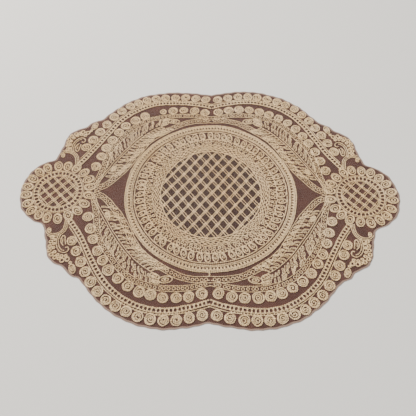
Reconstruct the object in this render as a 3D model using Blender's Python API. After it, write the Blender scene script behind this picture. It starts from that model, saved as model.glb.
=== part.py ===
"""Oval lace doily, lying flat: one sheet of net with raised chain-stitch embroidery worked into it.

Row frame: origin under the middle of the doily on the surface it lies on, +X along its length, +Z up.
Plan sizes are in millimetres. The doily is drawn as one quarter, mirrored four ways, then pulled a little out of
true, as a washed and pressed doily is.
"""
import bpy
import bmesh
import math
import numpy as np

# ---- driving dimensions, mm ----
HALF_LENGTH = 230.5          # middle to the end of the net
HALF_WIDTH = 168.5           # middle to the farthest lobe of the net
NET_THICK = 1.0              # the net ground
ROSETTE_TOP = 2.0            # heights of the raised work above the surface
MEDALLION_TOP = 2.0
BORDER_TOP = 1.9
PANEL_TOP = 1.8
SCROLL_TOP = 1.7
SINK = 0.4                   # how far above the surface the raised work starts, inside the net

MEDALLION_R_OUT = 104.6      # round medallion in the middle
MEDALLION_R_IN = 60.5        # its open lattice window
CURL_GAP_OUT = 95.0          # sunk ring between the medallion's beaded band and its ring of curls
CURL_GAP_IN = 92.0
ROSETTE_X = 184.1            # rosettes at both ends
ROSETTE_PETALS = 20
ROSETTE_PETAL_RING = 38.0
ROSETTE_PETAL_R = 6.4
ROSETTE_LATTICE_R = 22.0
DISC_PITCH = 13.8            # spiral discs along both borders
DISC_R = 6.5
OUTER_DISC_OFFSET = 10.6     # from the ladder's centreline out to the disc centres
LADDER_HALF = 3.4            # half width of the ladder band
STEP = 5.0                   # longest edge along a smooth line

# ---- one quarter, x to the right and y up, mm ----
# net edge: stations (x, y) from the end of the length round to the notch in the long side
NET_EDGE = [
    (230.5, 0.0), (229.6, 9.0), (225.5, 23.5), (219.5, 32.0), (208.0, 41.5), (198.5, 45.3), (194.3, 50.0),
    (192.0, 58.0), (188.6, 69.0), (186.6, 78.0), (180.3, 91.6), (175.0, 96.0), (167.0, 99.6), (157.0, 108.3),
    (145.0, 114.0), (133.0, 127.5), (122.0, 139.5), (97.5, 156.8), (72.0, 165.6), (46.0, 168.5), (20.0, 165.8),
    (0.0, 161.3),
]
# centreline of the outer ladder band, from the rosette to the notch
LADDER = [
    (165.5, 40.0), (159.7, 47.8), (145.5, 69.5), (132.3, 93.2), (119.0, 113.8), (103.5, 129.0), (88.5, 138.9),
    (71.0, 145.5), (52.5, 147.9), (34.5, 146.6), (16.5, 143.0), (0.0, 138.2),
]
# centres line of the inner spiral discs
INNER_DISCS = [
    (147.0, 22.0), (144.0, 36.3), (139.0, 52.0), (127.7, 79.5), (112.7, 103.0), (90.2, 121.0), (65.3, 131.0),
    (44.0, 133.8), (23.2, 132.4), (9.0, 128.6), (0.0, 124.5),
]
# inner edge of the pointed-oval band round the medallion
PANEL_EDGE = [
    (139.5, 0.8), (126.6, 7.6), (109.6, 25.0), (97.8, 42.6), (83.5, 67.6), (68.9, 83.7), (48.0, 97.6),
    (22.9, 107.9), (0.0, 109.2),
]
# lobes of the corner scroll: x, y, radius
SCROLL_LOBES = [
    (170.5, 44.0, 4.2), (173.5, 54.5, 4.2), (180.8, 58.0, 3.8), (187.0, 55.0, 3.8), (180.6, 65.0, 4.8),
    (180.5, 73.5, 4.8), (179.0, 82.0, 5.0), (173.0, 88.0, 5.0), (164.8, 91.0, 4.8), (157.5, 94.5, 3.6),
    (153.2, 102.3, 4.4), (174.2, 70.0, 3.8), (166.5, 80.5, 4.8), (169.0, 67.0, 3.6),
]
# how the real doily is pulled out of true: centre x, y, radius of the pull, shift x, y
PULLS = [
    (-48.0, 165.0, 62.0, 0.0, -4.2),
    (-100.0, 140.0, 45.0, 1.0, -1.6),
    (60.0, 165.0, 60.0, 2.0, -0.6),
    (0.0, 105.0, 70.0, 0.0, 2.2),
    (184.0, 0.0, 40.0, 0.2, -1.5), (-184.0, 0.0, 40.0, -0.4, -0.6), (172.0, 72.0, 34.0, 0.9, -3.0),
    (-172.0, 72.0, 34.0, -1.6, -2.7), (-172.0, -72.0, 34.0, 0.6, 1.0), (172.0, -72.0, 34.0, -0.2, 1.1),
    (60.0, 157.0, 34.0, -2.6, 0.0), (-110.0, 138.0, 36.0, 1.2, 1.7), (-145.0, 94.0, 26.0, 0.3, -1.3),
    (0.0, -155.0, 30.0, -0.9, -0.2), (-60.0, -157.0, 34.0, 0.8, 0.0),
]


def smooth(points, step=STEP):
    """Points of a Catmull-Rom curve through the stations, no farther apart than step."""
    p = np.array(points, float)
    p = np.vstack([2 * p[0] - p[1], p, 2 * p[-1] - p[-2]])
    out = []
    for i in range(1, len(p) - 2):
        n = max(1, int(math.ceil(np.linalg.norm(p[i + 1] - p[i]) / step)))
        for k in range(n):
            t = k / n
            a = 2 * p[i]
            b = (p[i + 1] - p[i - 1]) * t
            c = (2 * p[i - 1] - 5 * p[i] + 4 * p[i + 1] - p[i + 2]) * t * t
            d = (3 * p[i] - p[i - 1] - 3 * p[i + 1] + p[i + 2]) * t ** 3
            out.append(0.5 * (a + b + c + d))
    out.append(p[-2])
    return np.array(out)


def along(line, pitch, start):
    """Points and unit normals every pitch along a polyline, from the distance start."""
    seg = np.diff(line, axis=0)
    run = np.concatenate([[0.0], np.cumsum(np.hypot(seg[:, 0], seg[:, 1]))])
    at = np.arange(start, run[-1] - 0.3 * pitch, pitch)
    x = np.interp(at, run, line[:, 0])
    y = np.interp(at, run, line[:, 1])
    idx = np.clip(np.searchsorted(run, at) - 1, 0, len(seg) - 1)
    t = seg[idx] / np.hypot(seg[idx, 0], seg[idx, 1])[:, None]
    return np.column_stack([x, y]), np.column_stack([t[:, 1], -t[:, 0]])


def offset(line, distance):
    """A polyline moved sideways; positive is to the right of its run."""
    t = np.gradient(line, axis=0)
    t /= np.hypot(t[:, 0], t[:, 1])[:, None]
    return line + distance * np.column_stack([t[:, 1], -t[:, 0]])


def half_round(quarter):
    """A quarter line (from +X to +Y) and its mirror: from the +X side over the top to the -X side."""
    return np.vstack([quarter, (quarter * [-1, 1])[::-1][1:]])


def scallop(line, pitch, start, radius, points=4):
    """The outer edge of a row of discs whose centres lie every pitch along a line; bulges to the right."""
    centres, normals = along(line, pitch, start)
    edge = []
    for c, n in zip(centres, normals):
        side = np.array([-n[1], n[0]])
        for k in range(points):
            a = math.radians(-62 + 124 * k / (points - 1))
            edge.append(c + radius * (math.cos(a) * n + math.sin(a) * side))
    return np.array(edge)


def uneven(points):
    """Pull the true drawing a little out of shape."""
    p = np.array(points, float)
    q = p.copy()
    for cx, cy, reach, dx, dy in PULLS:
        w = np.exp(-((p[:, 0] - cx) ** 2 + (p[:, 1] - cy) ** 2) / (2 * (reach * 0.6) ** 2))
        q[:, 0] += w * dx
        q[:, 1] += w * dy
    return q


def prism(name, loop, low, high, hole=None):
    """A closed solid from a plan loop (mm), with an optional hole loop."""
    mesh = bpy.data.meshes.new(name)
    bm = bmesh.new()
    rings = []
    for pts in ([loop] if hole is None else [loop, hole]):
        pts = uneven(pts)
        rings.append([bm.verts.new((x * 0.001, y * 0.001, low * 0.001)) for x, y in pts])
    edges = []
    for ring in rings:
        for i in range(len(ring)):
            edges.append(bm.edges.new((ring[i], ring[(i + 1) % len(ring)])))
    bmesh.ops.triangle_fill(bm, use_beauty=True, use_dissolve=False, edges=edges, normal=(0, 0, 1))
    made = bmesh.ops.extrude_face_region(bm, geom=bm.faces[:])
    bmesh.ops.translate(bm, vec=(0, 0, (high - low) * 0.001),
                        verts=[v for v in made["geom"] if isinstance(v, bmesh.types.BMVert)])
    bmesh.ops.recalc_face_normals(bm, faces=bm.faces[:])
    bm.to_mesh(mesh)
    bm.free()
    obj = bpy.data.objects.new(name, mesh)
    bpy.context.scene.collection.objects.link(obj)
    return obj


def circle(cx, cy, r, n):
    a = np.arange(n) * 2 * math.pi / n
    return np.column_stack([cx + r * np.cos(a), cy + r * np.sin(a)])


def four_ways(quarter_loop):
    for sx in (1, -1):
        for sy in (1, -1):
            yield quarter_loop * [sx, sy]


def union_into(body, pieces):
    """Union the raised work into the sheet, and remove the loose pieces."""
    for piece in pieces:
        mod = body.modifiers.new("join_" + piece.name, "BOOLEAN")
        mod.operation = "UNION"
        mod.solver = "EXACT"
        mod.object = piece
        bpy.context.view_layer.update()
        shape = body.evaluated_get(bpy.context.evaluated_depsgraph_get())
        joined = bpy.data.meshes.new_from_object(shape)
        body.modifiers.clear()
        body.data = joined
        bpy.data.objects.remove(piece, do_unlink=True)


def material(name, colour, roughness):
    mat = bpy.data.materials.new(name)
    mat.use_nodes = True
    shader = mat.node_tree.nodes["Principled BSDF"]
    shader.inputs["Base Color"].default_value = (*colour, 1.0)
    shader.inputs["Roughness"].default_value = roughness
    shader.inputs["Metallic"].default_value = 0.0
    return mat


def main():
    for old in list(bpy.data.objects):
        bpy.data.objects.remove(old, do_unlink=True)

    # net sheet: the quarter edge mirrored to the whole outline
    edge = smooth(NET_EDGE)
    top = half_round(edge)
    outline = np.vstack([top, (top * [1, -1])[::-1][1:-1]])
    outline[:, 0] *= HALF_LENGTH / np.abs(outline[:, 0]).max()
    outline[:, 1] *= HALF_WIDTH / np.abs(outline[:, 1]).max()
    doily = prism("doily", outline, 0.0, NET_THICK)

    raised = []
    # medallion: beaded band, sunk ring, then the ring of curls round the lattice window
    raised.append(prism("medallion_band", circle(0, 0, MEDALLION_R_OUT, 72), SINK, MEDALLION_TOP,
                        hole=circle(0, 0, CURL_GAP_OUT, 72)))
    raised.append(prism("medallion_curls", circle(0, 0, CURL_GAP_IN, 72), SINK, MEDALLION_TOP,
                        hole=circle(0, 0, MEDALLION_R_IN, 48)))

    # border: ladder band with the outer row of discs, one length over the top and one under
    ladder = half_round(smooth(LADDER))
    discs_line = offset(ladder, OUTER_DISC_OFFSET)
    outer = scallop(discs_line, DISC_PITCH, 0.75 * DISC_PITCH, DISC_R)
    inner = offset(ladder, -LADDER_HALF)
    border = np.vstack([outer, inner[::-1]])

    # panel: spray band between the pointed oval and the inner row of discs
    discs_line = half_round(smooth(INNER_DISCS))
    outer = scallop(discs_line, DISC_PITCH, 0.35 * DISC_PITCH, DISC_R - 0.2)
    inner = half_round(smooth(PANEL_EDGE))
    panel = np.vstack([outer, inner[::-1]])

    for side, sy in (("top", 1), ("bottom", -1)):
        raised.append(prism("border_" + side, border * [1, sy], SINK, BORDER_TOP))
        raised.append(prism("panel_" + side, panel * [1, sy], SINK, PANEL_TOP))

    # rosettes: petals round a lattice window
    for side, sx in (("right", 1), ("left", -1)):
        petals = []
        for k in range(ROSETTE_PETALS):
            a = 2 * math.pi * (k + 0.5) / ROSETTE_PETALS
            for b in (-1.15, -0.4, 0.4, 1.15):
                petals.append((ROSETTE_X + ROSETTE_PETAL_RING * math.cos(a) + ROSETTE_PETAL_R * math.cos(a + b),
                               ROSETTE_PETAL_RING * math.sin(a) + ROSETTE_PETAL_R * math.sin(a + b)))
        raised.append(prism("rosette_" + side, np.array(petals) * [sx, 1], SINK, ROSETTE_TOP,
                            hole=circle(ROSETTE_X * sx, 0, ROSETTE_LATTICE_R, 32)))

    # corner scrolls: each a chain of round lobes
    for k, way in enumerate(((1, 1), (-1, 1), (1, -1), (-1, -1))):
        lobes = [prism("scroll_%d_%d" % (k, i), circle(x, y, r, 10) * way, SINK, SCROLL_TOP - 0.01 * i)
                 for i, (x, y, r) in enumerate(SCROLL_LOBES)]
        raised.extend(lobes)

    union_into(doily, raised)

    mesh = doily.data
    bm = bmesh.new()
    bm.from_mesh(mesh)
    bmesh.ops.remove_doubles(bm, verts=bm.verts[:], dist=2e-5)
    bmesh.ops.dissolve_limit(bm, angle_limit=math.radians(0.5), verts=bm.verts[:], edges=bm.edges[:])
    bmesh.ops.triangulate(bm, faces=bm.faces[:])
    bmesh.ops.recalc_face_normals(bm, faces=bm.faces[:])
    # the origin is under the middle of the box
    mid_x = 0.5 * (max(v.co.x for v in bm.verts) + min(v.co.x for v in bm.verts))
    mid_y = 0.5 * (max(v.co.y for v in bm.verts) + min(v.co.y for v in bm.verts))
    bmesh.ops.translate(bm, vec=(-mid_x, -mid_y, 0.0), verts=bm.verts[:])
    bm.to_mesh(mesh)
    bm.free()
    mesh.name = "doily"
    mesh.materials.clear()
    mesh.materials.append(material("doily_cloth", (0.56, 0.46, 0.32), 0.9))


main()
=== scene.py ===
"""The looks of the lace doily: a sheer taupe net ground and the cream chain-stitch work on it, stitch by stitch.

Every line of the work is drawn below as a path on the net. Each path is then sewn: one pair of slanting, plump
strands a stitch, which is how a chain stitch looks from above. Lengths are in millimetres until the meshes are made.
"""
import math

import bpy
import numpy as np
from mathutils import Matrix, Vector


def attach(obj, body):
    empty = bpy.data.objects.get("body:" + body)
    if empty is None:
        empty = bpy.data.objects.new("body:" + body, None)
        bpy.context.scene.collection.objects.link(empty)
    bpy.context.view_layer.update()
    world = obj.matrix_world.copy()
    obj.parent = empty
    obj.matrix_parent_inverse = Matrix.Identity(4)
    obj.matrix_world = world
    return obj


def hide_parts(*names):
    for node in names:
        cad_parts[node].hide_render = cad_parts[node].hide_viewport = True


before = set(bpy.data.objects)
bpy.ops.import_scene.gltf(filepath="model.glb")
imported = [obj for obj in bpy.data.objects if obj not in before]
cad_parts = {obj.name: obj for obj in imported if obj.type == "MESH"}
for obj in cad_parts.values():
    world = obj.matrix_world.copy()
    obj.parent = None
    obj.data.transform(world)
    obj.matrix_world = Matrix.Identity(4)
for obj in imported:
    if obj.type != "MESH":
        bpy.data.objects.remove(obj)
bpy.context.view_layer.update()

MM = 0.001

# ----------------------------------------------------------------------------------------------------------------
# The drawing of the doily: one quarter (x to the right, y up, mm), mirrored four ways.
# ----------------------------------------------------------------------------------------------------------------
HALF_LENGTH, HALF_WIDTH = 230.5, 168.5      # net edge
RING_OUT, RING_IN = 104.6, 95.0             # medallion's beaded band
FINE_RING_R = 92.9                          # single line outside the curls
CURLS, CURL_R = 59, 86.3                    # spirals round the medallion
LATTICE_R = 60.9
LATTICE_PITCH_X, LATTICE_PITCH_Y = 14.06, 17.6
ROSETTE_X, ROSETTE_Y = 184.4, -0.4
PETALS, PETAL_R = 20, 38.2
ROSETTE_DOTS, ROSETTE_DOT_R = 35, 26.4
LADDER_PITCH = 4.6

# net edge: stations from the end of the length to the notch in the long side
NET_EDGE = [
    (230.5, 0.0), (229.6, 9.0), (225.5, 23.5), (219.5, 32.0), (208.0, 41.5), (198.5, 45.3), (194.3, 50.0),
    (192.0, 58.0), (188.6, 69.0), (186.6, 78.0), (184.5, 85.0), (180.3, 91.6), (175.0, 96.0), (167.0, 99.6),
    (161.8, 103.0), (157.0, 108.3), (151.0, 111.4), (145.0, 114.0), (133.0, 127.5), (122.0, 139.5), (110.0, 148.6),
    (97.5, 156.8), (86.0, 161.5), (72.0, 165.6), (56.0, 168.0), (46.0, 168.5), (34.0, 167.8), (20.0, 165.8),
    (8.0, 163.0), (0.0, 161.3),
]
# centreline of the outer ladder band
LADDER = [
    (165.5, 40.0), (159.7, 47.8), (152.3, 58.5), (145.5, 69.5), (139.2, 81.0), (132.3, 93.2), (125.7, 104.6),
    (119.0, 113.8), (111.0, 122.6), (103.5, 129.0), (96.0, 134.5), (88.5, 138.9), (79.7, 143.0), (71.0, 145.5),
    (61.5, 147.3), (52.5, 147.9), (43.5, 147.5), (34.5, 146.6), (25.5, 145.0), (16.5, 143.0), (8.0, 140.6),
    (0.0, 138.2),
]
# spiral discs along the net edge and inside the channel: x, y of the centres
OUTER_DISCS = [
    (8.0, 152.3), (21.8, 155.6), (36.0, 158.0), (49.7, 158.2), (63.5, 157.4), (77.0, 154.6), (89.5, 150.5),
    (101.2, 144.6), (112.4, 137.3), (122.2, 128.0), (130.9, 117.6), (138.4, 105.4), (145.3, 93.8), (152.0, 81.0),
    (158.3, 68.7),
]
INNER_DISCS = [
    (9.0, 128.6), (23.2, 132.4), (37.6, 133.6), (51.5, 133.2), (65.3, 131.0), (77.5, 127.0), (90.2, 121.0),
    (102.0, 112.6), (112.7, 103.0), (120.9, 91.5), (127.7, 79.5), (134.2, 66.0), (139.0, 52.0), (144.0, 36.3),
]
# centreline of the beaded band inside the inner discs
BEADS = [
    (142.0, 7.5), (139.9, 14.0), (137.8, 22.0), (136.0, 30.0), (134.2, 38.0), (132.6, 46.0), (130.8, 53.5), (128.8, 60.5),
    (125.8, 67.5), (121.6, 74.5), (117.2, 81.0), (110.6, 89.8), (104.5, 98.0), (98.3, 104.2), (92.0, 109.3),
    (85.5, 113.5), (79.3, 116.6), (72.0, 119.2), (64.5, 121.4), (57.0, 122.6), (47.0, 123.1), (36.0, 123.0),
    (26.5, 122.3), (17.5, 121.0), (10.0, 119.2), (0.0, 116.6),
]
# centreline of the pointed-oval band round the medallion
OVAL = [
    (143.0, 2.5), (137.0, 4.6), (128.5, 9.5), (122.0, 16.0), (117.0, 22.0), (112.2, 27.5), (108.2, 32.2), (104.2, 38.5),
    (100.6, 44.4), (97.2, 50.4), (93.8, 57.3), (90.2, 64.0), (86.4, 70.0), (82.0, 76.0), (77.0, 81.4),
    (71.5, 86.5), (66.0, 90.5), (61.0, 94.0), (55.5, 97.8), (50.0, 101.0), (45.0, 103.8), (40.0, 106.4),
    (34.5, 108.7), (29.5, 110.3), (24.0, 111.6), (18.0, 112.5), (13.0, 112.8), (6.0, 112.9), (0.0, 112.9),
]
# vein of the spray, from the tip by the rosette
VEIN = [
    (141.5, 9.5), (137.0, 17.5), (130.5, 28.5), (124.3, 38.4), (118.4, 47.8), (112.8, 56.2), (106.0, 66.0), (99.5, 74.6),
    (92.0, 83.6), (84.0, 91.6), (75.0, 99.2), (66.0, 105.0), (58.5, 109.0),
]
# outer leaflets of the spray: x, y of base, x, y of tip, half width
OUTER_LEAVES = [
    (126.5, 36.5, 127.0, 56.0, 1.3), (122.5, 42.5, 122.8, 66.5, 1.7), (118.5, 49.0, 116.6, 75.5, 1.9),
    (114.0, 56.0, 110.8, 82.5, 2.0), (108.8, 63.5, 103.6, 90.0, 2.1), (103.3, 71.0, 97.0, 96.0, 2.2),
    (97.0, 79.0, 90.6, 101.0, 2.2), (91.0, 86.0, 84.0, 106.5, 2.1), (84.5, 92.6, 77.0, 111.2, 2.0),
    (77.5, 98.6, 69.5, 114.0, 1.9), (70.5, 103.2, 62.5, 116.3, 1.7),
]
# corner scroll: named strokes, each a row of x, y stations
SCROLL_HOOK = [
    (169.8, 40.0), (170.0, 47.0), (171.6, 53.6), (176.0, 58.2), (181.5, 59.4), (186.4, 57.8), (189.0, 54.2),
    (187.6, 51.4), (184.9, 52.2), (185.2, 54.6),
]
SCROLL_C = [
    (175.2, 59.5), (176.4, 66.5), (175.4, 74.5), (171.6, 81.0), (166.4, 83.8), (162.2, 82.4), (160.8, 79.0),
    (163.0, 76.4), (165.0, 77.8),
]
SCROLL_C_IN = [(172.9, 60.5), (174.2, 67.0), (172.9, 74.5), (169.4, 79.8), (165.8, 81.2)]
SCROLL_LEAF = [
    (167.6, 75.2), (171.2, 70.5), (171.6, 65.8), (169.9, 61.9), (167.6, 62.8), (166.6, 68.0), (165.4, 73.2),
]
# cloud edge of the scroll: x, y, radius of each small loop
SCROLL_LOOPS = [
    (182.0, 63.8, 2.5), (182.6, 69.6, 2.4), (182.3, 75.2, 2.4), (182.0, 80.8, 2.5), (179.4, 85.8, 2.6),
    (174.6, 89.4, 2.6), (166.3, 92.6, 3.0), (160.2, 91.6, 2.9), (156.6, 95.0, 1.7), (170.3, 90.6, 2.0),
    (178.7, 66.8, 1.9), (178.6, 72.4, 1.9), (178.3, 78.0, 1.9), (176.2, 82.8, 2.0), (172.2, 86.6, 2.0),
    (167.4, 88.2, 2.1), (162.6, 87.4, 2.0),
]
SCROLL_BUD = (153.2, 102.3, 3.2, 5.6, 22.0)       # x, y, half width, half length, lean in degrees

# How the doily is pulled out of true: x, y of the middle of each pull, its reach, and the shift there
PULLS = [
    (-48.0, 165.0, 62.0, 0.0, -4.2), (-100.0, 140.0, 45.0, 1.0, -1.6), (60.0, 165.0, 60.0, 2.0, -0.6),
    (0.0, 105.0, 70.0, 0.0, 2.2),
    (184.0, 0.0, 40.0, 0.2, -1.5), (-184.0, 0.0, 40.0, -0.4, -0.6), (172.0, 72.0, 34.0, 0.9, -3.0),
    (-172.0, 72.0, 34.0, -1.6, -2.7), (-172.0, -72.0, 34.0, 0.6, 1.0), (172.0, -72.0, 34.0, -0.2, 1.1),
    (60.0, 157.0, 34.0, -2.6, 0.0), (-110.0, 138.0, 36.0, 1.2, 1.7), (-145.0, 94.0, 26.0, 0.3, -1.3),
    (0.0, -155.0, 30.0, -0.9, -0.2), (-60.0, -157.0, 34.0, 0.8, 0.0),
]


def smooth(points, step=0.8, closed=False):
    """Dense points of a Catmull-Rom curve through the stations."""
    p = np.array(points, float)
    if closed:
        p = np.vstack([p[-1], p, p[0], p[1]])
    else:
        p = np.vstack([2 * p[0] - p[1], p, 2 * p[-1] - p[-2]])
    out = []
    for i in range(1, len(p) - 2):
        n = max(2, int(math.ceil(np.hypot(*(p[i + 1] - p[i])) / step)))
        t = (np.arange(n) / n)[:, None]
        out.append(0.5 * (2 * p[i] + (p[i + 1] - p[i - 1]) * t
                          + (2 * p[i - 1] - 5 * p[i] + 4 * p[i + 1] - p[i + 2]) * t ** 2
                          + (3 * p[i] - p[i - 1] - 3 * p[i + 1] + p[i + 2]) * t ** 3))
    out.append(p[-2][None])
    return np.vstack(out)


def run_of(line):
    return np.concatenate([[0.0], np.cumsum(np.hypot(*np.diff(line, axis=0).T))])


def at_runs(line, runs):
    """Points and left-hand unit normals at distances along a polyline."""
    run = run_of(line)
    p = np.column_stack([np.interp(runs, run, line[:, k]) for k in (0, 1)])
    d = 0.6
    a = np.column_stack([np.interp(np.clip(runs - d, 0, run[-1]), run, line[:, k]) for k in (0, 1)])
    b = np.column_stack([np.interp(np.clip(runs + d, 0, run[-1]), run, line[:, k]) for k in (0, 1)])
    t = (b - a) / np.maximum(np.hypot(*(b - a).T), 1e-9)[:, None]
    return p, t, np.column_stack([-t[:, 1], t[:, 0]])


def beside(line, distance):
    """A polyline moved to its left by a distance."""
    run = run_of(line)
    at = np.linspace(0, run[-1], max(4, int(run[-1] / 0.9)))
    p, t, n = at_runs(line, at)
    return p + n * distance


def ring(x, y, r, n=None, start=0.0, turn=1.0):
    n = n or max(10, int(2 * math.pi * r / 0.5))
    a = start + np.linspace(0, 2 * math.pi * turn, n + 1)
    return np.column_stack([x + r * np.cos(a), y + r * np.sin(a)])


def spiral(x, y, rx, ry, lean, start, way, gap=2.0, core=0.8):
    """A flat spiral from the core to the rim, rx by ry, leaning by an angle."""
    turns = (min(rx, ry) - core) / gap
    a = np.linspace(0, 2 * math.pi * (turns + 0.85), int(40 * (turns + 1)))
    r = np.minimum(core + gap * a / (2 * math.pi), min(rx, ry)) / min(rx, ry)
    px, py = rx * r * np.cos(start + way * a), ry * r * np.sin(start + way * a)
    c, s = math.cos(lean), math.sin(lean)
    return np.column_stack([x + c * px - s * py, y + s * px + c * py])


def oval(x, y, rx, ry, lean, start=0.0):
    a = start + np.linspace(0, 2 * math.pi, max(14, int(5 * (rx + ry))))
    c, s = math.cos(lean), math.sin(lean)
    px, py = rx * np.cos(a), ry * np.sin(a)
    return np.column_stack([x + c * px - s * py, y + s * px + c * py])


def leaf(bx, by, tx, ty, half):
    """A narrow loop from its base out to the tip and back."""
    b, t = np.array([bx, by]), np.array([tx, ty])
    u = t - b
    length = np.hypot(*u)
    u /= length
    n = np.array([-u[1], u[0]])
    f = np.array([0.0, 0.12, 0.4, 0.75, 0.93, 1.0])
    w = np.array([0.35, 0.75, 1.0, 1.0, 0.72, 0.0])
    one = b + np.outer(f * length, u) + np.outer(w * half, n)
    two = (b + np.outer(f * length, u) - np.outer(w * half, n))[::-1][1:]
    return smooth(np.vstack([one, two]), 0.7)


def meander(line, pitch, low, high, start=0.0, stop=None):
    """A square-ish wave along a line, between two offsets."""
    run = run_of(line)[-1] if stop is None else stop
    at = np.arange(start, run, pitch / 4.0)
    p, t, n = at_runs(line, at)
    off = np.array([low, high, high, low])[np.arange(len(at)) % 4]
    return p + n * off[:, None]


class Pen:
    """Collects the stitched lines: (points, width, base height, stitch length, piece)."""

    def __init__(self, seed):
        self.lines, self.rng = [], np.random.default_rng(seed)

    def draw(self, points, width=1.0, base=0.0, stitch=2.3, piece="work"):
        points = np.array(points, float)
        if len(points) > 1 and run_of(points)[-1] > 0.9:
            self.lines.append((points, width, base, stitch, piece))


def uneven(p):
    """Pull the true drawing a little out of shape."""
    p = np.array(p, float)
    q = p.copy()
    for cx, cy, reach, dx, dy in PULLS:
        w = np.exp(-((p[:, 0] - cx) ** 2 + (p[:, 1] - cy) ** 2) / (2 * (0.6 * reach) ** 2))
        q[:, 0] += w * dx
        q[:, 1] += w * dy
    q[:, 0] += 0.35 * np.sin(p[:, 1] / 23.0 + 1.0) + 0.2 * np.sin(p[:, 1] / 9.0 + p[:, 0] / 17.0)
    q[:, 1] += 0.35 * np.sin(p[:, 0] / 27.0 + 0.4) + 0.2 * np.sin(p[:, 0] / 10.0 - p[:, 1] / 15.0)
    return q


def wobble(rng, p, amount=0.16, span=7.0):
    """A hand-guided line never runs quite true."""
    run = run_of(p)
    knots = max(3, int(run[-1] / span) + 2)
    at = np.linspace(0, run[-1], knots)
    dx, dy = (np.interp(run, at, rng.normal(0, amount, knots)) for _ in (0, 1))
    return p + np.column_stack([dx, dy])


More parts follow.
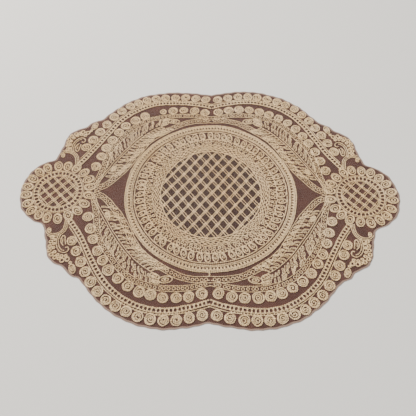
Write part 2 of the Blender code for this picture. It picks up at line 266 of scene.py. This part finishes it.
def draw_quarter(pen, sx, sy):
    """One quarter of the border, bands, spray and scroll."""
    rng = pen.rng
    way = np.array([sx, sy])

    def put(points, width=1.0, base=0.0, stitch=2.3, piece="work", shake=0.16):
        pen.draw(wobble(rng, np.array(points, float) * way, shake), width, base, stitch, piece)

    # outer ladder: two lines with bars between, and a fine third line that ties in the discs
    ladder = smooth(LADDER)
    put(beside(ladder, 2.45), 1.14, 0.0, 2.5, "border")
    put(beside(ladder, -2.35), 1.04, 0.0, 2.5, "border")
    put(beside(ladder[12:], -4.8), 0.74, 0.0, 2.2, "border")
    total = run_of(ladder)[-1]
    bars = np.arange(2.6, total - 1.0, LADDER_PITCH) + rng.normal(0, 0.12, len(np.arange(2.6, total - 1.0, LADDER_PITCH)))
    p, t, n = at_runs(ladder, bars)
    for k in range(len(bars)):
        put([p[k] + n[k] * 2.3, p[k] - n[k] * 2.2], 1.16, 0.05, 2.4, "border", 0.05)
    # small bars between the ladder and the third line, along the lobe
    extra = np.arange(total * 0.56, total - 22.0, 3.4)
    p, t, n = at_runs(ladder, extra)
    for k in range(len(extra)):
        put([p[k] - n[k] * 3.2 + t[k] * 0.7, p[k] - n[k] * 5.2 - t[k] * 0.7], 0.75, -0.03, 2.0, "border", 0.05)

    # rows of spiral discs: the rim is even, the turns inside it wander and touch
    def put_disc(points):
        loose = wobble(rng, points, 0.34, 2.1)
        run = run_of(points)
        share = np.clip((run[-1] - run) / 26.0, 0, 1)[:, None]
        pen.draw(points + (loose - points) * share, 0.97, 0.02, 1.95, "discs")

    for k, (x, y) in enumerate(OUTER_DISCS):
        r = 6.35 + rng.normal(0, 0.12)
        dx, dy = rng.normal(0, 0.25, 2)
        put_disc(spiral((x + dx) * sx, (y + dy) * sy, r - 0.75, r - 0.75 + rng.normal(0, 0.1), 0.0,
                        rng.uniform(0, 6.28), sx * sy, core=rng.uniform(0.6, 1.1)))
    for k, (x, y) in enumerate(INNER_DISCS):
        if (sx, sy) == (-1, 1) and k == 5:
            continue                       # the gap in this quarter is bare net
        r = 6.5 + rng.normal(0, 0.14)
        if (sx, sy) == (-1, 1) and k == 4:
            r = 4.9
        dx, dy = rng.normal(0, 0.3, 2)
        put_disc(spiral((x + dx) * sx, (y + dy) * sy, r - 0.75, r - 0.75 + rng.normal(0, 0.12), 0.0,
                        rng.uniform(0, 6.28), -sx * sy, core=rng.uniform(0.6, 1.1)))

    # beaded band: little rings between two lines
    beads = smooth(BEADS)
    put(beside(beads, 3.15), 0.7, 0.0, 2.2, "bands")
    put(beside(beads, -3.1), 0.7, 0.0, 2.2, "bands")
    at = np.arange(2.4, run_of(beads)[-1] - 1.0, 5.1)
    at = at + rng.normal(0, 0.25, len(at))
    p, t, n = at_runs(beads, at)
    for k in range(len(at)):
        c = p[k] + rng.normal(0, 0.15, 2)
        put(ring(c[0], c[1], 1.72 + rng.normal(0, 0.1), start=rng.uniform(0, 6.28), turn=1.02), 0.6, 0.12, 1.35, "bands", 0.05)

    # pointed-oval band: smaller loops between two lines
    arc = smooth(OVAL)
    put(beside(arc, 3.75), 0.68, 0.0, 2.2, "bands")
    put(beside(arc, -3.45), 0.68, 0.0, 2.2, "bands")
    at = np.arange(3.0, run_of(arc)[-1] - 1.0, 4.95)
    at = at + rng.normal(0, 0.2, len(at))
    p, t, n = at_runs(arc, at)
    for k in range(len(at)):
        c = p[k] + n[k] * (0.25 if k % 2 else -0.25)
        put(ring(c[0], c[1], 1.85 + rng.normal(0, 0.1), start=rng.uniform(0, 6.28), turn=1.02), 0.6, 0.12, 1.4, "bands", 0.05)

    # spray: a double vein, long leaflets outside it, short ones inside it, and end leaves
    vein = smooth(VEIN)
    put(beside(vein, 1.25), 0.72, 0.1, 2.3, "spray")
    put(beside(vein[: int(len(vein) * 0.72)], -1.3), 0.72, 0.1, 2.3, "spray")
    # leaflets on both sides of the vein, as far as the bands; each a narrow loop
    for side, fence, first, last, pitch, lean0, half, gap in (
            (1, beside(arc, 4.5), 16.0, 8.0, 5.0, 48.0, 0.72, 0.7), (-1, beside(beads, 3.9), 17.0, 4.0, 4.7, 42.0, 0.8, 0.5)):
        count = 0
        for s in np.arange(first, run_of(vein)[-1] - last, pitch):
            p, t, n = at_runs(vein, np.array([s + rng.normal(0, 0.25)]))
            p, t, n = p[0], t[0], n[0] * side
            lean = math.radians(lean0 + rng.normal(0, 5.0))
            u = t * math.cos(lean) + n * math.sin(lean)
            along, across = (fence - p) @ u, np.abs((fence - p) @ np.array([-u[1], u[0]]))
            hit = along[(across < 1.2) & (along > 0)]
            reach = min(24.0, hit.min() if len(hit) else 13.0) - gap - rng.uniform(0.0, 1.1)
            if reach < 4.5:
                continue
            base = p + n * (2.9 if s < 0.5 * run_of(vein)[-1] else 1.9) + t * 0.6
            tiers = ((0.0, 1.0),) if reach < 11.0 else ((0.0, 0.56), (0.5, 1.0)) if reach < 19.0 else \
                ((0.0, 0.42), (0.36, 0.74), (0.66, 1.0))
            for tier, (low, high) in enumerate(tiers):
                turn = rng.normal(0, 0.12) + (0.0, 0.2, -0.14)[tier]
                c, w = math.cos(turn * side), math.sin(turn * side)
                aim = np.array([c * u[0] - w * u[1], w * u[0] + c * u[1]])
                b = base + u * (low * reach) + n * rng.normal(0, 0.25)
                e = b + aim * ((high - low) * reach - 1.5)
                bend = 0.13 * (high - low) * reach * n
                way_out = smooth([b, 0.5 * (b + e) + bend, e], 1.0)
                h = half * (1 + 0.15 * rng.normal())
                at = np.linspace(0, 1, len(way_out))
                puff = h * np.interp(at, [0, 0.15, 0.5, 0.85, 1.0], [0.5, 0.9, 1.0, 0.95, 0.35])
                _, _, nn = at_runs(way_out, run_of(way_out))
                put(np.vstack([way_out + nn * puff[:, None], (way_out - nn * puff[:, None])[::-1]]), 0.64,
                    0.02 + 0.1 * ((count + tier) % 2), 2.0, "spray", 0.2)
            count += 1
    for x, y, rx, ry, lean in ((49.8, 112.8, 7.6, 3.9, 8.0), (61.5, 108.6, 5.6, 2.4, -24.0), (121.6, 33.6, 4.4, 2.3, -62.0),
                               (60.5, 115.6, 4.6, 1.9, -12.0)):
        for f in (1.0, 0.5, 0.15):
            if ry * f > 0.5:
                put(oval(x, y, rx * f + 0.3, ry * f, math.radians(lean)), 0.9, 0.05, 2.1, "spray", 0.1)

    # corner scroll
    put(beside(smooth(SCROLL_HOOK), 0.0), 0.8, 0.05, 2.1, "scroll", 0.1)
    put(ring(186.4, 55.3, 1.7, start=1.0), 1.05, 0.0, 1.6, "scroll", 0.06)
    put(beside(smooth(SCROLL_HOOK[:7]), 1.95), 0.74, 0.0, 2.1, "scroll", 0.1)
    put(beside(smooth(SCROLL_HOOK[:6]), 3.9), 0.74, 0.0, 2.1, "scroll", 0.1)
    put(smooth(SCROLL_C), 0.86, 0.05, 2.0, "scroll", 0.1)
    put(smooth(SCROLL_C_IN), 0.76, 0.0, 2.0, "scroll", 0.1)
    put(smooth(SCROLL_LEAF), 0.95, 0.0, 1.9, "scroll", 0.1)
    put([(169.0, 71.5), (169.6, 66.0)], 0.8, 0.0, 2.0, "scroll", 0.05)
    for x, y, r in SCROLL_LOOPS:
        put(ring(x + rng.normal(0, 0.15), y + rng.normal(0, 0.15), 0.8 * r, start=rng.uniform(0, 6.28), turn=1.03),
            1.1, 0.03, 1.6, "scroll", 0.06)
    x, y, w, h, lean = SCROLL_BUD
    for f in (1.0, 0.5):
        put(oval(x, y, w * f, h * f, math.radians(-lean) * -1), 1.0, 0.03, 1.9, "scroll", 0.08)
    put([(x, y - 1.5), (x, y + 1.5)], 0.8, 0.03, 1.9, "scroll", 0.05)


def draw_rosette(pen, sx):
    rng = pen.rng
    cx, cy = (183.2 if sx > 0 else -185.0), ROSETTE_Y

    def put(points, width=1.0, base=0.0, stitch=2.3, shake=0.1):
        pen.draw(wobble(rng, points, shake), width, base, stitch, "rosettes")

    for k in range(PETALS):
        a = math.radians(9.2 + 18.0 * k) + rng.normal(0, 0.012)
        r = PETAL_R + rng.normal(0, 0.35)
        put(spiral(cx + r * math.cos(a), cy + r * math.sin(a), 6.75, 4.8, a, rng.uniform(0, 6.28), 1, gap=2.1, core=0.7),
            1.0, 0.02, 1.95, 0.14)
    for r, w in ((29.0, 0.95), (30.6, 0.56), (23.7, 0.95), (22.2, 0.56)):
        put(ring(cx, cy, r, start=rng.uniform(0, 6.28), turn=1.0), w, 0.0, 2.3)
    for k in range(ROSETTE_DOTS):
        a = 2 * math.pi * (k + 0.5) / ROSETTE_DOTS + rng.normal(0, 0.008)
        d = np.array([math.cos(a), math.sin(a)])
        c = np.array([cx, cy])
        put(np.array([c + d * 24.0, c + d * 28.6]), 1.0, 0.05, 2.3, 0.04)
    lattice(pen, cx + 2.6 * sx, cy - 6.0, 22.0, 13.2, 13.8, cx, cy, 1.0, 0.85, "rosettes", 1)


def lattice(pen, ox, oy, radius, px, py, cx, cy, half_open, half_close, piece, top=-1):
    """Two sets of slanting bars in a round window: pairs of lines, one set open and one nearly closed."""
    rng = pen.rng
    ang = math.atan2(py, px)
    gap = px * math.sin(ang)
    for sign, half, width, base in ((top, half_open, 0.68, 0.42), (-top, half_close, 0.78, 0.0)):
        u = np.array([math.cos(ang), sign * math.sin(ang)])
        n = np.array([-u[1], u[0]])
        first = (np.array([ox + px / 2, oy]) - np.array([cx, cy])) @ n
        k0 = int(radius / gap) + 2
        for k in range(-k0, k0 + 1):
            d = (first + k * gap)
            for side in (-1, 1):
                e = d + side * half + rng.normal(0, 0.1)
                if abs(e) >= radius - 0.8:
                    continue
                h = math.sqrt((radius + 1.0) ** 2 - e * e)
                m = np.array([cx, cy]) + n * e
                line = np.array([m - u * h, m, m + u * h])
                steps = np.linspace(0, 1, max(3, int(2 * h / 6)))
                line = np.array([m - u * h + u * 2 * h * s for s in steps])
                line = line + np.outer(rng.normal(0, 0.12, len(line)), n)
                pen.draw(smooth(line, 1.2), width, base, 2.45, piece)
    # a small loop ties the bars where they cross
    for i in range(-12, 13):
        for j in range(-12, 13):
            if (i + j) % 2:
                continue
            x, y = ox + px / 2 * (i + 1), oy + py / 2 * j
            if math.hypot(x - cx, y - cy) < radius - 2.0:
                pen.draw(wobble(rng, ring(x, y, 1.55, start=rng.uniform(0, 6.28)), 0.12), 0.6, 0.5, 1.7, piece)


def draw_medallion(pen):
    rng = pen.rng

    def put(points, width=1.0, base=0.0, stitch=2.3, shake=0.12, piece="medallion"):
        pen.draw(wobble(rng, points, shake), width, base, stitch, piece)

    # beaded band
    for r, w in ((RING_OUT - 0.8, 1.05), (RING_OUT - 2.45, 0.9), (RING_IN + 0.7, 0.9), (RING_IN + 2.35, 0.9)):
        put(ring(0, 0, r, start=rng.uniform(0, 6.28)), w, 0.0, 2.3)
    loops = 158
    mid = 0.5 * (RING_OUT + RING_IN) + 0.25
    t = np.linspace(0, 2 * math.pi, loops * 14 + 1)
    put(np.column_stack([(mid + 1.5 * np.cos(t * loops)) * np.cos(t + 1.6 / mid * np.sin(t * loops)),
                         (mid + 1.5 * np.cos(t * loops)) * np.sin(t + 1.6 / mid * np.sin(t * loops))]), 0.9, 0.1, 1.75, 0.05)
    put(ring(0, 0, FINE_RING_R, start=1.0), 0.85, 0.0, 2.3)

    # ring of curls, each a spiral with an open core, standing on a stem
    for k in range(CURLS):
        a = 2 * math.pi * (k + 0.89) / CURLS + rng.normal(0, 0.006)
        r = CURL_R + rng.normal(0, 0.3)
        x, y = r * math.cos(a), r * math.sin(a)
        lean = a + math.radians(14) + rng.normal(0, 0.12)
        put(spiral(x, y, 5.8, 3.3, lean, rng.uniform(-0.4, 0.4) + math.pi, 1, gap=1.85, core=0.5), 0.84, 0.05, 1.9,
            0.08, "curls")
    t = np.linspace(0, 2 * math.pi, 900)
    r = 80.7 + 0.7 * np.sin(CURLS * t + 1.0) + 0.2 * np.sin(11 * t)
    put(np.column_stack([r * np.cos(t), r * np.sin(t)]), 0.84, 0.0, 2.2, 0.15, "curls")
    # filling between the curls and the lattice window: close rings, then rows of small loops
    put(ring(0, 0, 61.6, start=1.0), 1.05, 0.0, 2.4, 0.12)
    t = np.linspace(0, 2 * math.pi, 1200)
    for k in range(4):
        r = 63.9 + 2.1 * k + 0.8 * np.sin((63, 71, 66, 58)[k] * t + rng.uniform(0, 6.28)) + 0.25 * np.sin(9 * t + k)
        put(np.column_stack([r * np.cos(t + 0.003 * k), r * np.sin(t + 0.003 * k)]), 0.86, 0.0, 1.4, 0.14)
    put(ring(0, 0, 71.9, start=2.0), 0.7, 0.0, 2.4, 0.15)
    for count, r, rx, ry, lean in ((84, 74.4, 1.6, 1.7, 0.3), (86, 78.4, 2.3, 1.85, 0.5)):
        for k in range(count):
            a = 2 * math.pi * (k + rng.uniform(-0.18, 0.18)) / count
            q = r + rng.normal(0, 0.3)
            put(oval(q * math.cos(a), q * math.sin(a), rx + rng.normal(0, 0.12), ry, a + lean + rng.normal(0, 0.25)),
                0.76, 0.06, 1.8, 0.08, "curls")


def draw_all():
    pen = Pen(7)
    for sx, sy in ((1, 1), (-1, 1), (-1, -1), (1, -1)):
        draw_quarter(pen, sx, sy)
    for sx in (1, -1):
        draw_rosette(pen, sx)
    draw_medallion(pen)
    lattice(pen, 1.1, 9.1, LATTICE_R, LATTICE_PITCH_X, LATTICE_PITCH_Y, 0.0, 0.0, 1.42, 0.82, "lattice")
    # short tie between the medallion and the oval band, at the lower notch
    pen.draw(np.array([(-1.6, -104.0), (-0.9, -106.3), (-1.5, -109.3)]), 1.0, 0.0, 2.0, "bands")
    return [(uneven(p), w, b, s, piece) for p, w, b, s, piece in pen.lines]


# ----------------------------------------------------------------------------------------------------------------
# Meshes
# ----------------------------------------------------------------------------------------------------------------
UNIT = 1.5                 # width of a plain chain-stitch line, mm
NET_Z = 0.30                # the net lies this far above the surface
SECTION = [(-1.0, -0.35), (-0.5, 0.85), (0.5, 0.85), (1.0, -0.35)]      # strand section: side, up


def new_object(name, verts, faces_corner, loop_starts, loop_totals, material, smooth_faces=True, uv=None):
    mesh = bpy.data.meshes.new(name)
    mesh.vertices.add(len(verts))
    mesh.vertices.foreach_set("co", np.ascontiguousarray(verts, np.float32).ravel())
    mesh.loops.add(len(faces_corner))
    mesh.loops.foreach_set("vertex_index", faces_corner.astype(np.int32))
    mesh.polygons.add(len(loop_starts))
    mesh.polygons.foreach_set("loop_start", loop_starts.astype(np.int32))
    mesh.polygons.foreach_set("loop_total", loop_totals.astype(np.int32))
    mesh.update(calc_edges=True)
    mesh.validate()
    mesh.polygons.foreach_set("use_smooth", np.full(len(mesh.polygons), smooth_faces, bool))
    if uv is not None:
        layer = mesh.uv_layers.new(name="OFBake")
        corner = np.empty(len(mesh.loops), np.int32)
        mesh.loops.foreach_get("vertex_index", corner)
        layer.uv.foreach_set("vector", np.ascontiguousarray(uv[corner], np.float32).ravel())
    mesh.update()
    mesh.materials.append(material)
    obj = bpy.data.objects.new(name, mesh)
    bpy.context.scene.collection.objects.link(obj)
    return obj


def plan_uv(verts):
    low, high = verts[:, :2].min(0), verts[:, :2].max(0)
    return 0.002 + 0.996 * (verts[:, :2] - low) / (high - low)


def sew(name, lines, rng, material):
    """Turn paths into stitches: two strands each, every strand a closed spindle of two rings and two ends."""
    a, b, width, base = [], [], [], []
    for points, w, z, stitch, _ in lines:
        run = run_of(points)
        n = max(1, int(round(run[-1] / stitch)))
        at = np.linspace(0, run[-1], n + 1)
        p = np.column_stack([np.interp(at, run, points[:, k]) for k in (0, 1)])
        a.append(p[:-1]); b.append(p[1:])
        width.append(np.full(n, w)); base.append(np.full(n, z))
    a, b, width, base = np.vstack(a), np.vstack(b), np.concatenate(width), np.concatenate(base)
    count = len(a)
    u = b - a
    length = np.maximum(np.hypot(*u.T), 1e-6)
    u = u / length[:, None]
    side = np.column_stack([-u[:, 1], u[:, 0]])
    half = 0.5 * UNIT * width * (1 + np.clip(rng.normal(0, 0.085, count), -0.2, 0.2))
    strand_r = 0.45 * half                       # half width of one strand
    lift = NET_Z + 0.12 + base + rng.normal(0, 0.03, count)
    over = 0.36 * UNIT * width                   # each stitch reaches into the next
    ring_n = len(SECTION)
    sec = np.array(SECTION)
    per = 2 + 2 * ring_n
    verts = np.empty((count, 2, per, 3))
    for si, s in enumerate((-1.0, 1.0)):
        twist = rng.normal(0, 0.05, count)
        whole = length + over
        r_up = strand_r * 1.25
        # stations along the stitch: share of the length, share of the half width to the side, height, share of radius
        for ri, (f, off, up, rad) in enumerate(((0.26, 0.57, 0.95, 1.0), (0.70, 0.53, 1.15, 0.95))):
            centre = a + u * (whole * f)[:, None] + side * (s * half * (off + twist))[:, None]
            z = lift + r_up * up
            for k in range(ring_n):
                idx = 1 + ri * ring_n + k
                verts[:, si, idx, :2] = centre + side * (sec[k, 0] * strand_r * rad)[:, None]
                verts[:, si, idx, 2] = z + sec[k, 1] * r_up * rad
        verts[:, si, 0, :2] = a + side * (s * half * 0.10)[:, None] - u * (0.05 * length)[:, None]
        verts[:, si, 0, 2] = lift + 0.35 * r_up
        verts[:, si, per - 1, :2] = a + u * whole[:, None] + side * (s * half * 0.14)[:, None]
        verts[:, si, per - 1, 2] = lift + 1.0 * r_up
    verts = verts.reshape(-1, 3) * MM

    faces, totals = [], []
    for k in range(ring_n):
        j = (k + 1) % ring_n
        faces += [0, 1 + k, 1 + j]; totals.append(3)
    for k in range(ring_n):
        j = (k + 1) % ring_n
        faces += [1 + k, 1 + ring_n + k, 1 + ring_n + j]; totals.append(3)
        faces += [1 + k, 1 + ring_n + j, 1 + j]; totals.append(3)
    for k in range(ring_n):
        j = (k + 1) % ring_n
        faces += [1 + ring_n + k, per - 1, 1 + ring_n + j]; totals.append(3)
    faces, totals = np.array(faces), np.array(totals)
    spindles = count * 2
    corner = (faces[None, :] + (np.arange(spindles) * per)[:, None]).ravel()
    totals = np.tile(totals, spindles)
    starts = np.concatenate([[0], np.cumsum(totals)[:-1]])
    obj = new_object(name, verts, corner, starts, totals, material, True, plan_uv(verts))
    return obj, count


def net_outline():
    edge = smooth(NET_EDGE, 1.6)
    top = np.vstack([edge, (edge * [-1, 1])[::-1][1:]])
    whole = np.vstack([top, (top * [1, -1])[::-1][1:-1]])
    # the pressed edge draws in a little between the discs
    run = run_of(np.vstack([whole, whole[:1]]))[:-1]
    r = np.hypot(*whole.T)
    dent = 0.32 * np.sin(run / 13.4 * 2 * math.pi) + 0.22 * np.sin(run / 31.0 * 2 * math.pi + 1.0)
    return uneven(whole * (1 + dent / r)[:, None])


def net_height(x, y):
    """The net lies almost flat, slightly puckered by the stitching."""
    return NET_Z + 0.05 * np.sin(x / 8.3 + 0.6 * np.sin(y / 11.0)) + 0.045 * np.sin(y / 7.1 + 1.3 + 0.5 * np.sin(x / 9.0)) \
        + 0.03 * np.sin((x + y) / 4.3)


def make_net(material):
    """An open sheet: rings of points from the middle out to the edge, closer together near the edge."""
    edge = net_outline()
    n = len(edge)
    shares = np.concatenate([np.linspace(0.03, 0.96, 48), [0.975, 0.985, 0.993, 1.0]])
    rings = [edge * f for f in shares]
    pts = np.vstack([np.zeros((1, 2))] + rings)
    z = net_height(pts[:, 0], pts[:, 1])
    # the cut edge turns up by a thread's height
    f = np.concatenate([[0.0], np.repeat(shares, n)])
    z = z + 0.12 * np.clip((f - 0.975) / 0.025, 0, 1) ** 2
    verts = np.column_stack([pts, z]) * MM
    k = np.arange(n)
    j = (k + 1) % n
    faces = [np.column_stack([np.zeros(n, int), 1 + k, 1 + j]).ravel()]
    totals = [np.full(n, 3)]
    for r in range(len(shares) - 1):
        lo, hi = 1 + r * n, 1 + (r + 1) * n
        faces.append(np.column_stack([lo + k, hi + k, hi + j, lo + j]).ravel())
        totals.append(np.full(n, 4))
    corner, totals = np.concatenate(faces), np.concatenate(totals)
    starts = np.concatenate([[0], np.cumsum(totals)[:-1]])
    obj = new_object("net_ground", verts, corner, starts, totals, material, True, plan_uv(verts))
    x, y = edge.T
    rim = obj.data.attributes.new("rim", "FLOAT", "POINT")
    inward = np.hypot(*edge.T)[None, :] * (1.0 - np.array(shares))[:, None]
    rim.data.foreach_set("value", np.concatenate([[0.0], np.clip(1.0 - inward / 2.4, 0, 1).ravel()]).astype(np.float32))
    area = 0.5 * abs(np.dot(x, np.roll(y, -1)) - np.dot(y, np.roll(x, -1))) * 1e-6
    size = (edge.max(0) - edge.min(0)) * MM
    return obj, area, size


# ----------------------------------------------------------------------------------------------------------------
# Materials
# ----------------------------------------------------------------------------------------------------------------
def srgb(r, g, b):
    f = lambda c: (c / 255 / 12.92) if c / 255 <= 0.04045 else ((c / 255 + 0.055) / 1.055) ** 2.4
    return (f(r), f(g), f(b), 1.0)


class Nodes:
    def __init__(self, name):
        self.mat = bpy.data.materials.new(name)
        self.mat.use_nodes = True
        self.tree = self.mat.node_tree
        self.shader = self.tree.nodes["Principled BSDF"]

    def add(self, kind, **values):
        node = self.tree.nodes.new(kind)
        for key, value in values.items():
            setattr(node, key, value)
        return node

    def link(self, a, b):
        self.tree.links.new(a, b)

    def maths(self, op, a, b=None, clamp=False):
        node = self.add("ShaderNodeMath", operation=op, use_clamp=clamp)
        for i, v in enumerate((a, b)):
            if v is None:
                continue
            if isinstance(v, (int, float)):
                node.inputs[i].default_value = v
            else:
                self.link(v, node.inputs[i])
        return node.outputs[0]

    def noise(self, vector, scale, detail=2.0, rough=0.5):
        node = self.add("ShaderNodeTexNoise")
        node.inputs["Scale"].default_value = scale
        node.inputs["Detail"].default_value = detail
        node.inputs["Roughness"].default_value = rough
        self.link(vector, node.inputs["Vector"])
        return node.outputs["Fac"]

    def ramp(self, fac, *stops):
        node = self.add("ShaderNodeValToRGB")
        while len(node.color_ramp.elements) < len(stops):
            node.color_ramp.elements.new(0.5)
        for element, (pos, colour) in zip(node.color_ramp.elements, stops):
            element.position, element.color = pos, colour
        self.link(fac, node.inputs["Fac"])
        return node.outputs["Color"]

    def mix(self, fac, a, b, blend="MIX"):
        node = self.add("ShaderNodeMix", data_type="RGBA", blend_type=blend)
        for socket, v in ((node.inputs[0], fac), (node.inputs[6], a), (node.inputs[7], b)):
            if isinstance(v, (int, float, tuple)):
                socket.default_value = v
            else:
                self.link(v, socket)
        return node.outputs[2]


def flat_position(m):
    """Plan position in metres: colours follow x and y only."""
    coords = m.add("ShaderNodeTexCoord")
    squash = m.add("ShaderNodeMapping")
    squash.inputs["Scale"].default_value = (1, 1, 0)
    m.link(coords.outputs["Object"], squash.inputs["Vector"])
    return squash.outputs["Vector"], coords.outputs["Object"]


def thread_material(name, light, mid, dark, seed):
    """Matt mercerised cotton: ply at thread scale, shade from stitch to stitch, slow yellowing across the doily."""
    m = Nodes(name)
    place, full = flat_position(m)
    shifted = m.add("ShaderNodeVectorMath", operation="ADD")
    shifted.inputs[1].default_value = (seed * 0.37, seed * 0.21, 0)
    m.link(place, shifted.inputs[0])
    place = shifted.outputs[0]
    age = m.noise(place, 14.0, 3.0, 0.6)
    stitch = m.noise(place, 520.0, 2.0, 0.6)
    ply = m.noise(place, 2400.0, 2.0, 0.6)
    colour = m.ramp(stitch, (0.38, dark), (0.50, mid), (0.63, light))
    aged = m.ramp(age, (0.35, srgb(246, 236, 214)), (0.65, srgb(255, 252, 244)))
    colour = m.mix(1.0, colour, aged, "MULTIPLY")
    fibre = m.ramp(ply, (0.35, srgb(226, 222, 214)), (0.65, (1, 1, 1, 1)))
    colour = m.mix(1.0, colour, fibre, "MULTIPLY")
    m.link(colour, m.shader.inputs["Base Color"])
    rough = m.maths("ADD", m.maths("MULTIPLY", ply, 0.25), 0.55)
    m.link(rough, m.shader.inputs["Roughness"])
    m.shader.inputs["Specular IOR Level"].default_value = 0.35
    m.shader.inputs["Sheen Weight"].default_value = 0.25
    m.shader.inputs["Sheen Roughness"].default_value = 0.5
    bump = m.add("ShaderNodeBump")
    bump.inputs["Strength"].default_value = 0.35
    bump.inputs["Distance"].default_value = 0.00012
    m.link(ply, bump.inputs["Height"])
    m.link(bump.outputs["Normal"], m.shader.inputs["Normal"])
    return m.mat


def net_material():
    """Fine bobbin net: holes by Alpha, threads in taupe with a mauve cast, a paler pressed edge."""
    m = Nodes("taupe_net")
    place, full = flat_position(m)
    # six-sided mesh: distance to the nearest cell edge of a hexagonal grid
    cell = 0.00088
    voronoi = m.add("ShaderNodeTexVoronoi", feature="DISTANCE_TO_EDGE", voronoi_dimensions="2D")
    voronoi.inputs["Scale"].default_value = 1.0 / cell
    voronoi.inputs["Randomness"].default_value = 0.28
    m.link(place, voronoi.inputs["Vector"])
    fluff = m.noise(place, 1500.0, 2.0, 0.6)
    edge = m.maths("ADD", voronoi.outputs["Distance"], m.maths("MULTIPLY", m.maths("SUBTRACT", fluff, 0.5), 0.10))
    rim = m.add("ShaderNodeAttribute", attribute_name="rim", attribute_type="GEOMETRY").outputs["Fac"]
    hem = m.maths("GREATER_THAN", rim, 0.2)
    thread = m.maths("LESS_THAN", edge, m.maths("ADD", m.maths("MULTIPLY", hem, 0.12), 0.27))
    alpha = m.maths("ADD", m.maths("MULTIPLY", thread, 0.56), 0.42, clamp=True)
    m.link(alpha, m.shader.inputs["Alpha"])
    patch = m.noise(place, 60.0, 3.0, 0.6)
    colour = m.ramp(patch, (0.3, srgb(63, 36, 27)), (0.55, srgb(72, 42, 32)), (0.75, srgb(85, 51, 39)))
    weave = m.ramp(fluff, (0.3, srgb(205, 200, 200)), (0.7, (1, 1, 1, 1)))
    colour = m.mix(1.0, colour, weave, "MULTIPLY")
    # inside the round window of the medallion the net is greyer and darker
    reach = m.add("ShaderNodeVectorMath", operation="LENGTH")
    m.link(place, reach.inputs[0])
    window = m.maths("LESS_THAN", reach.outputs["Value"], 0.061)
    colour = m.mix(m.maths("MULTIPLY", window, 0.7), colour, srgb(40, 25, 22))
    colour = m.mix(m.maths("MULTIPLY", hem, 0.7), colour, srgb(130, 109, 95))
    m.link(colour, m.shader.inputs["Base Color"])
    m.shader.inputs["Roughness"].default_value = 0.85
    m.shader.inputs["Specular IOR Level"].default_value = 0.2
    m.shader.inputs["Sheen Weight"].default_value = 0.15
    bump = m.add("ShaderNodeBump")
    bump.inputs["Strength"].default_value = 0.3
    bump.inputs["Distance"].default_value = 0.0001
    m.link(thread, bump.inputs["Height"])
    m.link(bump.outputs["Normal"], m.shader.inputs["Normal"])
    return m.mat


# ----------------------------------------------------------------------------------------------------------------
# Build
# ----------------------------------------------------------------------------------------------------------------
PIECES = {            # piece: names of the drawing's groups in it
    "border_ladder": ("border",),
    "spiral_discs": ("discs",),
    "beaded_bands": ("bands",),
    "sprays": ("spray",),
    "corner_scrolls": ("scroll",),
    "rosettes": ("rosettes",),
    "medallion_rings": ("medallion",),
    "medallion_curls": ("curls",),
    "lattice": ("lattice",),
}

net, net_area, net_size = make_net(net_material())
cotton = thread_material("cream_cotton", srgb(247, 222, 180), srgb(233, 206, 164), srgb(198, 168, 128), 1)
lines = draw_all()
work = []
rng = np.random.default_rng(11)
for name, groups in PIECES.items():
    obj, stitches = sew(name, [line for line in lines if line[4] in groups], rng, cotton)
    work.append(obj)
    print("SEWN", name, stitches, "stitches", len(obj.data.polygons), "triangles")

for obj in [net] + work:
    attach(obj, "root")
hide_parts("doily")

# ---- floor, light, camera: not part of the object ----
floor_mat = Nodes("pale_floor")
floor_mat.shader.inputs["Base Color"].default_value = srgb(190, 187, 181)
floor_mat.shader.inputs["Roughness"].default_value = 0.9
half = 30.0
floor_mesh = bpy.data.meshes.new("floor")
floor_mesh.from_pydata([(-half, -half, 0), (half, -half, 0), (half, half, 0), (-half, half, 0)], [], [(0, 1, 2, 3)])
floor_mesh.materials.append(floor_mat.mat)
floor = bpy.data.objects.new("floor", floor_mesh)
floor.location.z = -0.00005
bpy.context.scene.collection.objects.link(floor)


def area_light(name, place, target, size, power, colour=(1, 1, 1)):
    data = bpy.data.lights.new(name, "AREA")
    data.shape, data.size, data.energy, data.color = "DISK", size, power, colour
    lamp = bpy.data.objects.new(name, data)
    bpy.context.scene.collection.objects.link(lamp)
    lamp.location = place
    lamp.rotation_euler = (Vector(target) - Vector(place)).to_track_quat("-Z", "Y").to_euler()


area_light("key", (-1.45, 1.25, 1.75), (0, 0, 0), 0.75, 196.0, (1.0, 0.97, 0.93))
area_light("fill", (0.9, -0.5, 1.1), (0, 0, 0), 1.2, 9.0, (0.95, 0.97, 1.0))
world = bpy.data.worlds.new("studio")
world.use_nodes = True
world.node_tree.nodes["Background"].inputs["Color"].default_value = (0.92, 0.95, 1.0, 1.0)
world.node_tree.nodes["Background"].inputs["Strength"].default_value = 0.62
bpy.context.scene.world = world

# ---- camera ----
FOCAL_PX, ELEVATION, DISTANCE, ROLL = 482.28, 59.558, 0.57751, 2.009
LOOK_X, LOOK_Y, YAW = -0.00274, -0.02078, 1.276
e, roll, yaw = (math.radians(v) for v in (ELEVATION, ROLL, YAW))
back = Vector((0, -math.cos(e), math.sin(e)))
place = Vector((LOOK_X, LOOK_Y, 0)) + back * DISTANCE
right = Vector((1, 0, 0))
up = back.cross(right)
r2 = right * math.cos(roll) + up * math.sin(roll)
u2 = up * math.cos(roll) - right * math.sin(roll)
turn = Matrix.Rotation(-yaw, 3, "Z")
r2, u2, b2, place = turn @ r2, turn @ u2, turn @ back, turn @ place
cam_data = bpy.data.cameras.new("camera")
cam_data.sensor_width = 36.0
cam_data.lens = 36.0 * FOCAL_PX / 416.0
cam_data.clip_start, cam_data.clip_end = 0.02, 20.0
camera = bpy.data.objects.new("camera", cam_data)
bpy.context.scene.collection.objects.link(camera)
camera.matrix_world = Matrix((
    (r2.x, u2.x, b2.x, place.x), (r2.y, u2.y, b2.y, place.y), (r2.z, u2.z, b2.z, place.z), (0, 0, 0, 1)))
bpy.context.scene.camera = camera

bpy.context.view_layer.update()
